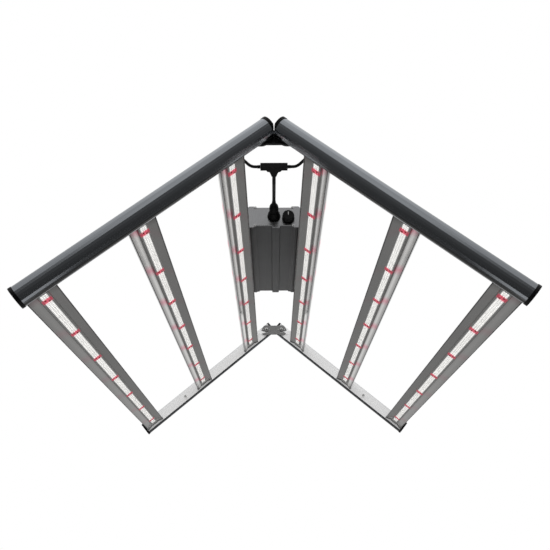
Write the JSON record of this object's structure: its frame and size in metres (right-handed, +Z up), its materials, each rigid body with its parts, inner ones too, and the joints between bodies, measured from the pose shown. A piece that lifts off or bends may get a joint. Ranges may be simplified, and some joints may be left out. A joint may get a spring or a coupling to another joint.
{
  "type": "led grow light",
  "caption": "Folding LED grow light: two wings of LED bars on D-shaped rails hinge on a rigid centre frame that carries the driver, dimmer and harness.",
  "frame": {"origin": "the point just above the middle of the driver, centred between the four hanging studs, where the rope hangers meet over the light", "axes": "+Y along the LED bars, away from the end with the dimmer; +X to the right seen from that end; +Z up"},
  "size_m": [0.891, 1.1356, 0.4209],
  "materials": {
    "rail": "satin slate-grey anodised aluminium",
    "end_cap": "black moulded plastic",
    "led_bar": "satin silver extrusion",
    "led_board": "white solder mask on an aluminium core board",
    "steel": "zinc-plated steel",
    "hinge_plate": "grey powder coat",
    "side_rail": "satin silver tube",
    "driver_shell": "dark grey anodised aluminium",
    "driver_end_plate": "light grey plate",
    "strap": "grey powder coat",
    "circuit_board": "green circuit board",
    "connector": "black moulded plastic",
    "knob": "black ribbed plastic",
    "cable": "black rubber jacket"
  },
  "bodies": {
    "centre_frame": {"hinge_plate_near": "hinge_plate", "hinge_plate_far": "hinge_plate", "hinge_pin_left_near": "steel", "hinge_pin_left_far": "steel", "hinge_pin_right_near": "steel", "hinge_pin_right_far": "steel", "side_rail_left": "side_rail", "side_rail_right": "side_rail", "driver_housing": "driver_shell", "driver_circuit_board": "circuit_board", "driver_end_plate_near": "driver_end_plate", "driver_end_plate_far": "driver_end_plate", "driver_strap_near": "strap", "driver_strap_far": "strap", "output_socket": "connector", "lead_plug": "connector", "mains_inlet": "connector", "data_port": "connector", "lead_tee": "connector", "lead_driver_to_tee": "cable", "lead_tee_to_left_wing": "cable", "lead_tee_to_right_wing": "cable"},
    "plug_nut": {"plug_coupling_nut": "connector"},
    "dimmer": {"dimmer_knob": "knob"},
    "left_wing": {"rail_left_near": "rail", "rail_left_far": "rail", "rail_cap_inner_left_near": "end_cap", "rail_cap_inner_left_far": "end_cap", "rail_cap_outer_left_near": "end_cap", "rail_cap_outer_left_far": "end_cap", "led_bar_left_inner": "led_bar", "led_bar_left_middle": "led_bar", "led_bar_left_outer": "led_bar", "led_board_left_inner": "led_board", "led_board_left_middle": "led_board", "led_board_left_outer": "led_board", "hanging_stud_left_near": "steel", "hanging_stud_left_far": "steel", "lead_junction_left": "connector"},
    "right_wing": {"rail_right_near": "rail", "rail_right_far": "rail", "rail_cap_inner_right_near": "end_cap", "rail_cap_inner_right_far": "end_cap", "rail_cap_outer_right_near": "end_cap", "rail_cap_outer_right_far": "end_cap", "led_bar_right_inner": "led_bar", "led_bar_right_middle": "led_bar", "led_bar_right_outer": "led_bar", "led_board_right_inner": "led_board", "led_board_right_middle": "led_board", "led_board_right_outer": "led_board", "hanging_stud_right_near": "steel", "hanging_stud_right_far": "steel", "lead_junction_right": "connector"}
  },
  "joints": [
    {"name": "left_fold", "type": "hinge", "parent": "centre_frame", "child": "left_wing", "pos_m": [-0.0265, 0, -0.0588], "axis": [0, -1, 0], "range_deg": [-40.5, 49.5], "deforming": ["lead_tee_to_left_wing"]},
    {"name": "right_fold", "type": "hinge", "parent": "centre_frame", "child": "right_wing", "pos_m": [0.0265, 0, -0.0588], "axis": [0, 1, 0], "range_deg": [-40.5, 49.5], "deforming": ["lead_tee_to_right_wing"]},
    {"name": "dimmer_turn", "type": "hinge", "parent": "centre_frame", "child": "dimmer", "pos_m": [0.0355, -0.1958, -0.0383], "axis": [0, -1, 0], "range_deg": [-150, 150]},
    {"name": "plug_nut_turn", "type": "hinge", "parent": "centre_frame", "child": "plug_nut", "pos_m": [0, -0.1958, -0.0323], "axis": [0, -1, 0], "range_deg": [0, 360]}
  ]
}
